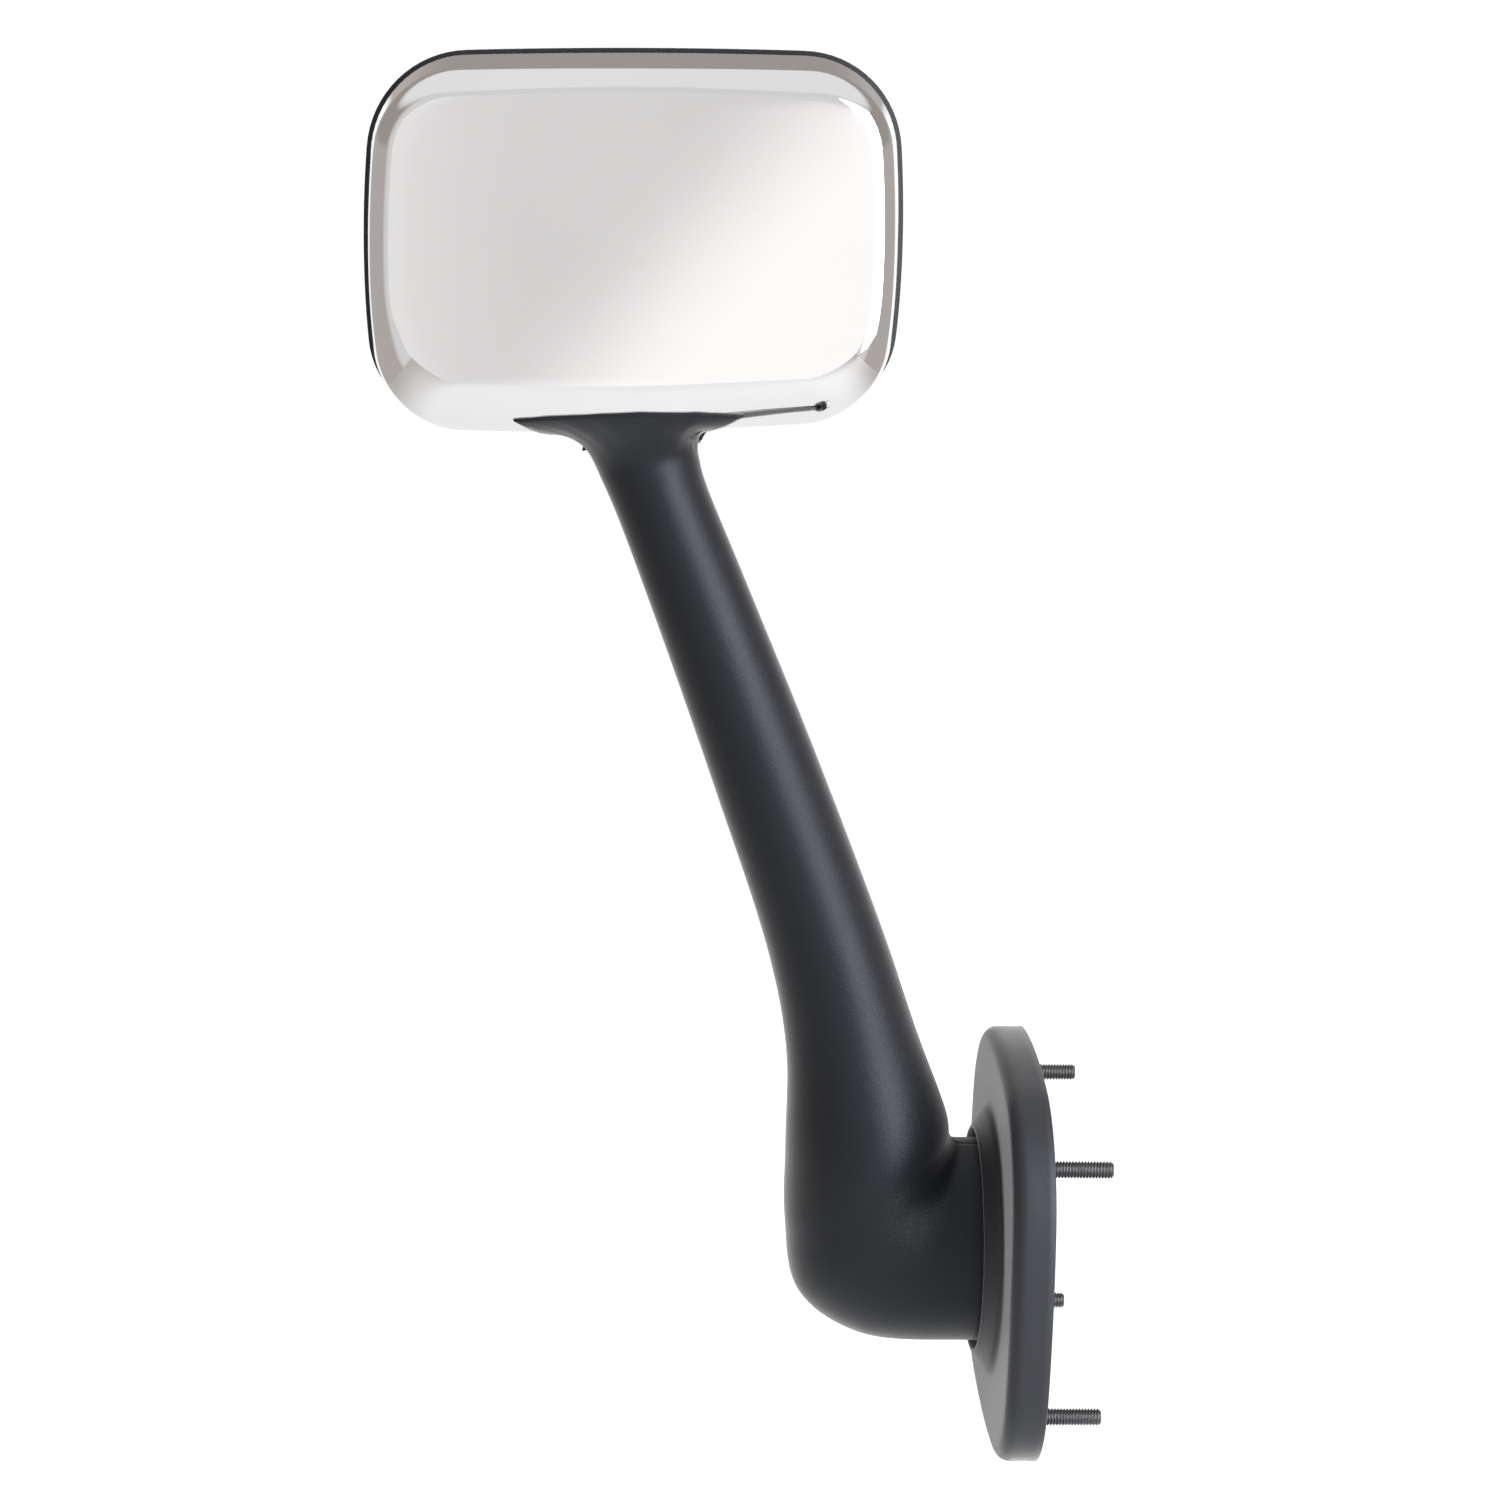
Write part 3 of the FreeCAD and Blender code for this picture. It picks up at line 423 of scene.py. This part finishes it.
slenderness, shell_wall = 0.58, 0.003
half_steps, span_steps, lip_steps = 48, 10, 16
seam_in, seam_rise, lip_proud = 0.0003, 0.0005, 0.0009
stations = [Vector(s + (s[4], 2.0)) for s in ROOT + ELBOW]
for outer_x, outer_z, inner_x, inner_z in SHAFT:
    depth = slenderness * math.hypot(inner_x - outer_x, inner_z - outer_z)
    stations.append(Vector((outer_x, outer_z, inner_x, inner_z, depth, depth, 2.0)))
stations += [Vector(s) for s in FLARE]


def smooth_stations(given, steps):
    """Centripetal Catmull-Rom through the stations, with steps to each span."""
    ends = [given[0] * 2 - given[1]] + given + [given[-1] * 2 - given[-2]]
    made = []
    for k in range(1, len(ends) - 2):
        p = ends[k - 1:k + 3]
        knots = [0.0]
        for a, b in zip(p, p[1:]):
            knots.append(knots[-1] + max((b - a).length, 1e-6) ** 0.5)
        for s in range(steps):
            t = knots[1] + (knots[2] - knots[1]) * s / steps

            def weighed(a, b, low, high):
                return a * ((high - t) / (high - low)) + b * ((t - low) / (high - low))

            a1, a2, a3 = [weighed(p[i], p[i + 1], knots[i], knots[i + 1]) for i in range(3)]
            b1, b2 = weighed(a1, a2, knots[0], knots[2]), weighed(a2, a3, knots[1], knots[3])
            made.append(weighed(b1, b2, knots[1], knots[2]))
    return made + [given[-1]]


def half_section(station, side):
    """Half an oval, squarer in the flare, from its outer to its inner point, in front (-1) or behind (+1)."""
    outer = Vector((station[0], 0, station[1]))
    inner = Vector((station[2], 0, station[3]))
    centre, half = (outer + inner) / 2, (inner - outer).length / 2
    deep = station[4] if side < 0 else station[5]
    across = (inner - outer).normalized()
    points = []
    for k in range(half_steps + 1):
        c, s = math.cos(math.pi * k / half_steps), math.sin(math.pi * k / half_steps)
        wide = math.copysign(abs(c) ** (2 / station[6]), c) * half
        points.append(centre - across * wide + Vector((0, side * deep * s ** (2 / station[6]), 0)))
    for end, sign in ((0, 1), (-1, -1)):
        edge = points[end]
        points[end] = edge + across * sign * seam_in
        points.insert(1 if end == 0 else len(points) - 1, edge + Vector((0, side * seam_rise, 0)))
    return points


def sheet_mesh(name, rows):
    mesh = bmesh.new()
    grid = [[mesh.verts.new(p) for p in row] for row in rows]
    for low, high in zip(grid, grid[1:]):
        for k in range(len(low) - 1):
            mesh.faces.new((low[k], low[k + 1], high[k + 1], high[k]))
    data = bpy.data.meshes.new(name)
    mesh.to_mesh(data)
    mesh.free()
    for face in data.polygons:
        face.use_smooth = True
    piece = bpy.data.objects.new(name, data)
    bpy.context.scene.collection.objects.link(piece)
    return piece


# The lip's X, Y and Z near the plating, and how far round the half section each point stands.
LIP = ((-0.2230, 0.0, 0.3815, 0), (-0.2300, -0.0240, 0.3835, 4), (-0.2450, -0.0400, 0.3902, 8),
       (-0.2290, -0.0418, 0.3938, 14), (-0.2070, -0.0428, 0.3964, 20), (-0.1900, -0.0432, 0.3976, 25),
       (-0.1640, -0.0428, 0.3966, 33), (-0.1445, -0.0410, 0.3935, 40), (-0.1575, -0.0260, 0.3850, 44),
       (-0.1605, 0.0, 0.3820, half_steps))


def trumpet(rows):
    """Carry the last row on to a lip that lies against the plating and leaves it at a tangent."""
    plating = cover.data
    skin = BVHTree.FromPolygons([v.co for v in plating.vertices], [p.vertices for p in plating.polygons])
    neck = Vector((-0.189, -0.030, 0.381))
    front_only, leave, arrive = -0.016, 0.32, 0.46
    ends, leads = [], []
    for k in range(len(rows[0])):
        step = min(float(half_steps), max(0.0, k - 1.0))
        low, high = [(a, b) for a, b in zip(LIP, LIP[1:]) if a[3] <= step <= b[3]][0]
        guess = Vector(low[:3]).lerp(Vector(high[:3]), (step - low[3]) / (high[3] - low[3]))
        spot, normal, _, _ = skin.find_nearest(guess)
        away = spot - neck
        ends.append(spot + normal * lip_proud)
        leads.append((away - normal * away.dot(normal)).normalized())
    added = []
    for s in range(1, lip_steps + 1):
        row = []
        for before, base, end, lead in zip(rows[-2], rows[-1], ends, leads):
            reach = (end - base).length
            first = base + (base - before).normalized() * reach * leave
            point = curved(base, first, end - lead * reach * arrive, end, s / lip_steps)
            spot, normal, _, _ = skin.find_nearest(point)
            if point.y < front_only and (point - spot).dot(normal) < lip_proud:
                point = spot + normal * lip_proud
            row.append(point)
        added.append(row)
    return rows + added


arm_plastic = grained_plastic("arm plastic", (0.0080, 0.0088, 0.0118), 0.40, 2600.0, 0.00010, 2.0)
for name, side, node in (("arm_front", -1, "arm_front_shell"), ("arm_rear", 1, "arm_rear_shell")):
    if side < 0:
        neck_end = len(stations) - len(FLARE) + 1
        rows = trumpet([half_section(s, side) for s in smooth_stations(stations[:neck_end], span_steps)])
    else:
        rows = [list(reversed(half_section(s, side))) for s in smooth_stations(stations, span_steps)]
    shell = sheet_mesh(name, rows)
    wall = shell.modifiers.new("wall", "SOLIDIFY")
    wall.thickness = shell_wall
    wall.offset = -1
    finish_piece(shell, "arm", "arm_plastic", arm_plastic, node)

# ---------------------------------------------------------------- head housing
# Satin-black bowl behind the chrome. Its rear lip stands proud round the sides and top as a dark edge,
# sits a little higher along the bottom, is rounded on both corners, and frames the glass.
housing_plastic = grained_plastic("housing plastic", (0.017, 0.0172, 0.019), 0.46, 2400.0, 0.00010, 2.0)
rim_rise, inner_keep, lip_width = 0.0023, 0.3, 0.0072
outer_round, inner_round, lip_top = 0.0030, 0.0018, 0.0050
outer_lip = [(0.0046, 0.0215), (0.0046, rim_step + 0.0003), (0.0008, rim_step + 0.0003),
             (0.0002, rim_step + 0.0006), (0.0, rim_step + 0.0012), (0.0, rim_step + 0.0060),
             (0.0, rim_rear - 0.0034)]
for turn in (math.pi / 2 * k / 6 for k in range(1, 7)):
    outer_lip.append((outer_round * (1 - math.cos(turn)), rim_rear - outer_round * (1 - math.sin(turn))))
inner_lip = []
for turn in (math.pi / 2 * k / 5 for k in range(6)):
    inner_lip.append((lip_top + inner_round * math.sin(turn), rim_rear - inner_round * (1 - math.cos(turn))))
inner_lip += [(lip_width, 0.026), (0.0078, 0.012), (0.0092, -0.006), (0.0105, -0.018)]
outer_bowl = bowl_rings(0.0210, 0.0037, 0.0096, 0.0110, 0.0218, 0.0023)
inner_bowl = bowl_rings(0.0, 0.0085, 0.0124, 0.0090, 0.0195, 0.0046, inner_keep)
rings = list(reversed(outer_bowl))
rings += [head_ring(y, inset, rim_rise * (1 - inset / lip_width)) for inset, y in outer_lip]
rings += [head_ring(y, inset, keep=inner_keep) for inset, y in inner_lip]
rings += inner_bowl[side_steps + 1:]
housing = ringed_mesh("head_bowl", rings, True, True)
finish_piece(housing, "arm", "housing_plastic", housing_plastic, "head_housing")

# ---------------------------------------------------------------- mirror glass
# Convex glass with a ground edge, held in a carrier by foam tape. The silvering is behind the glass.
glass_inset, glass_radius, glass_thick, ground_edge = 0.0130, 0.600, 0.0022, 0.0009
mirror, inputs, place = new_surface("mirror silver", Metallic=1.0, Coat_Weight=1.0, Coat_Roughness=0.0)
haze = place.noise(7.0, 2.0)
haze.mixed((0.80, 0.82, 0.825, 1), (0.84, 0.855, 0.86, 1)).feed(inputs["Base Color"])
(haze * 0.012 + 0.006).feed(inputs["Roughness"])


def dome_y(x, z, depth):
    reach2 = (x - head_x) ** 2 + (z - head_z) ** 2
    return rim_rear - glass_radius + math.sqrt((glass_radius - depth) ** 2 - reach2)


def dome_ring(depth, inset, share=1.0):
    ring = []
    for p in panel_loop(inset=inset, **HEAD):
        x, z = head_x + p.x * share, head_z + p.y * share
        ring.append(Vector((x, dome_y(x, z, depth), z)))
    return ring


rings = [dome_ring(glass_thick, glass_inset, k / 12) for k in range(1, 12)]
rings += [dome_ring(glass_thick, glass_inset), dome_ring(0.0006, glass_inset),
          dome_ring(0.0001, glass_inset + 0.0004), dome_ring(0.0, glass_inset + ground_edge)]
rings += [dome_ring(0.0, glass_inset + ground_edge, 1 - k / 16) for k in range(1, 16)]
pane = ringed_mesh("mirror_pane", rings, True, True)
finish_piece(pane, "glass", "mirror_glass", mirror, "mirror_glass")

# ---------------------------------------------------------------- metal and plastic parts from the frame
# Cast plate and hub, turned pivot parts, screws, bushes and the adjuster keep their own shapes.
rubber = grained_plastic("gasket rubber", (0.022, 0.022, 0.022), 0.78, 900.0, 0.00015, 1.6)
foam = grained_plastic("pad foam", (0.03, 0.03, 0.03), 0.85, 700.0, 0.0003, 1.5)
nylon = grained_plastic("natural nylon", (0.62, 0.60, 0.52), 0.45, 500.0, 0.00004, 1.1)
black_nylon = grained_plastic("black nylon", (0.020, 0.020, 0.022), 0.5, 1200.0, 0.00008, 1.8)
carrier_plastic = grained_plastic("carrier plastic", (0.022, 0.022, 0.024), 0.5, 1800.0, 0.00008, 1.8)
zinc = metal("bright zinc", (0.60, 0.60, 0.58), 0.32, 1800.0, 0.2)
turned_steel = metal("turned steel", (0.48, 0.48, 0.49), 0.28, 2600.0, 0.1)
phosphate = metal("phosphated steel", (0.16, 0.16, 0.17), 0.55, 1500.0, 0.1)
cast = metal("cast aluminium", (0.56, 0.56, 0.57), 0.48, 700.0, 0.25)
coated = grained_plastic("tube coating", (0.02, 0.02, 0.022), 0.4, 900.0, 0.00008, 1.5)
slot_finish = {"gasket_rubber": rubber, "pad_foam": foam, "nylon": nylon, "nylon_black": black_nylon,
               "carrier_plastic": carrier_plastic, "zinc_steel": zinc, "pivot_steel": turned_steel,
               "spring_steel": phosphate, "cast_plate": cast, "cast_hub": cast, "tube_steel": coated,
               "foot_plastic": foot_plastic, "arm_plastic": arm_plastic, "housing_plastic": housing_plastic,
               "stud_steel": stud_steel, "chrome": chrome, "mirror_glass": mirror}
for part in frame["record"]["subparts"]:
    owner = frame["nodes"][part["node"]]
    owner.data.materials.clear()
    owner.data.materials.append(slot_finish[part["material_slot"]])

# ---------------------------------------------------------------- studio
# A plain pale floor in a white room, a soft key light to the right, and a large pale card behind the
# camera whose tone changes slowly from corner to corner, which the bright plating mirrors.
def flat_panel(name, centre, across, rise):
    """A rectangle from its centre and two half-side vectors."""
    centre, across, rise = Vector(centre), Vector(across), Vector(rise)
    data = bpy.data.meshes.new(name)
    spots = [centre - across - rise, centre + across - rise, centre + across + rise, centre - across + rise]
    data.from_pydata([tuple(p) for p in spots], [], [(0, 1, 2, 3)])
    panel = bpy.data.objects.new(name, data)
    bpy.context.scene.collection.objects.link(panel)
    return panel


floor_paint, inputs, place = new_surface("floor paint", Roughness=0.9, Specular_IOR_Level=0.1,
                                         Base_Color=(0.12, 0.12, 0.12, 1), Emission_Strength=1.0)
seen = place.node("ShaderNodeLightPath", {}, ())
aside = place.maths("ABSOLUTE", place.axis(0) + 0.1)
dim = aside.eased(0.45, 1.25).mixed((0.80, 0.80, 0.80, 1), (0.40, 0.38, 0.365, 1))
seen.mixed(dim, (1.15, 1.15, 1.15, 1)).feed(inputs["Emission Color"])
floor = flat_panel("floor", (-0.1, -0.9, -0.42), (1.3, 0, 0), (0, 2.6, 0))
floor.data.materials.append(floor_paint)

card = flat_panel("card", (-0.2, -3.2, 0.75), (2.6, 0, 0), (0, 0, 1.17))
card_glow = bpy.data.materials.new("card glow")
card_glow.use_nodes = True
card_tree = card_glow.node_tree
card_tree.nodes.remove(card_tree.nodes["Principled BSDF"])
start = Wire(card_tree, None)
spot = start.node("ShaderNodeTexCoord", {}, (), output="Object")
card_x, card_z = spot.axis(0), spot.axis(2)
slant = (card_x + 0.2) * 0.9 - (card_z - 0.45) * 0.75


def pale(level):
    return tuple(c * level for c in (1.0, 0.992, 0.985)) + (1.0,)


glow = slant.eased(-0.02, 0.62).mixed(pale(0.74), pale(1.10))
edge_lift = card_x.eased(-1.2, -0.55).mixed(pale(0.12), pale(0.0))
adding = {"data_type": "RGBA", "blend_type": "ADD"}
both = start.node("ShaderNodeMix", adding, {0: 1.0, 6: glow, 7: edge_lift}, output=2)
lamp = start.node("ShaderNodeEmission", {}, {"Color": both, "Strength": 1.0})
lamp.feed(card_tree.nodes["Material Output"].inputs["Surface"])
card.data.materials.append(card_glow)

world = bpy.data.worlds.new("room")
bpy.context.scene.world = world
world.use_nodes = True
room = world.node_tree
backdrop = room.nodes["Background"]
start = Wire(room, None)
gaze = start.node("ShaderNodeTexCoord", {}, (), output="Generated")
look_y, look_z = gaze.axis(1), gaze.axis(2)
paper = look_y.eased(0.80, 0.88) * (1.0 - look_z.eased(0.02, 0.09)) * 1.05
ceiling = look_z.eased(0.42, 0.72) * 0.82
front = (look_y * -1.0).eased(0.15, 0.70) * 0.70
bright = start.maths("MAXIMUM", start.maths("MAXIMUM", paper, ceiling), front)
walls = start.maths("MAXIMUM", bright, 0.46 - look_z.eased(0.08, 0.22) * 0.12)
bright.eased(0.30, 0.75).mixed((1.0, 0.92, 0.875, 1), (1, 1, 1, 1)).feed(backdrop.inputs["Color"])
walls.feed(backdrop.inputs["Strength"])


def soft_light(name, place, aim, size, power):
    lamp = bpy.data.lights.new(name, "AREA")
    lamp.shape = "RECTANGLE"
    lamp.size, lamp.size_y = size
    lamp.energy = power
    item = bpy.data.objects.new(name, lamp)
    item.location = place
    item.rotation_euler = (Vector(aim) - Vector(place)).to_track_quat("-Z", "Y").to_euler()
    bpy.context.scene.collection.objects.link(item)


soft_light("key", (1.6, -1.35, 0.8), (-0.1, 0, 0.2), (1.7, 2.4), 95.0)

# ---------------------------------------------------------------- camera
camera_data = bpy.data.cameras.new("camera")
camera_data.sensor_width = 36.0
camera_data.lens = 71.373
camera = bpy.data.objects.new("camera", camera_data)
right = Vector((0.9993802, -0.0292787, 0.0195441))
up = Vector((-0.0120521, 0.2370622, 0.9714197))
back = right.cross(up)
turned = Matrix((right, up, back)).transposed().to_4x4()
camera.matrix_world = Matrix.Translation((-0.18310, -1.32503, 0.56201)) @ turned
bpy.context.scene.collection.objects.link(camera)
bpy.context.scene.camera = camera
bpy.context.scene.view_settings.view_transform = "Standard"
